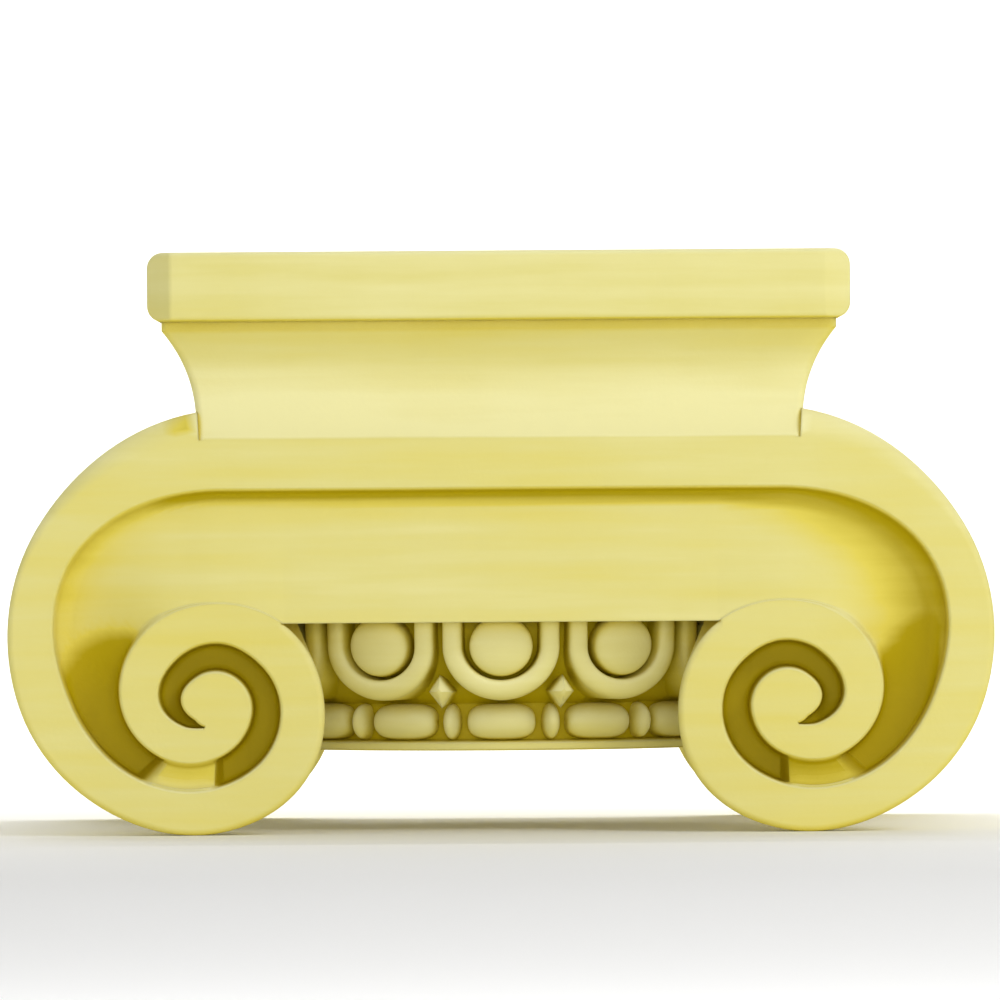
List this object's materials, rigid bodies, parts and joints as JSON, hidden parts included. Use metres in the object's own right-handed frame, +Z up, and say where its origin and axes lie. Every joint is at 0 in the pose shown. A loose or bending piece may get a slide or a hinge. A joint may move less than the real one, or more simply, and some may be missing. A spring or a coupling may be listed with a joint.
{
  "type": "ionic capital",
  "caption": "Cast Ionic column capital: canted abacus, concave neck, straight canal running into scrolled volutes, egg-and-dart and bead-and-reel over a round shaft seat.",
  "frame": {"origin": "middle of the footprint, on the level of the lowest points of the volutes", "axes": "+Z up toward the abacus, -Y toward the front face, +X to the right seen from the front"},
  "size_m": [0.5, 0.356, 0.295],
  "materials": {
    "plaster": "cast plaster, cream with an ochre glaze settled in the recesses, matt to satin"
  },
  "bodies": {
    "root": {"capital": "plaster"}
  },
  "joints": []
}
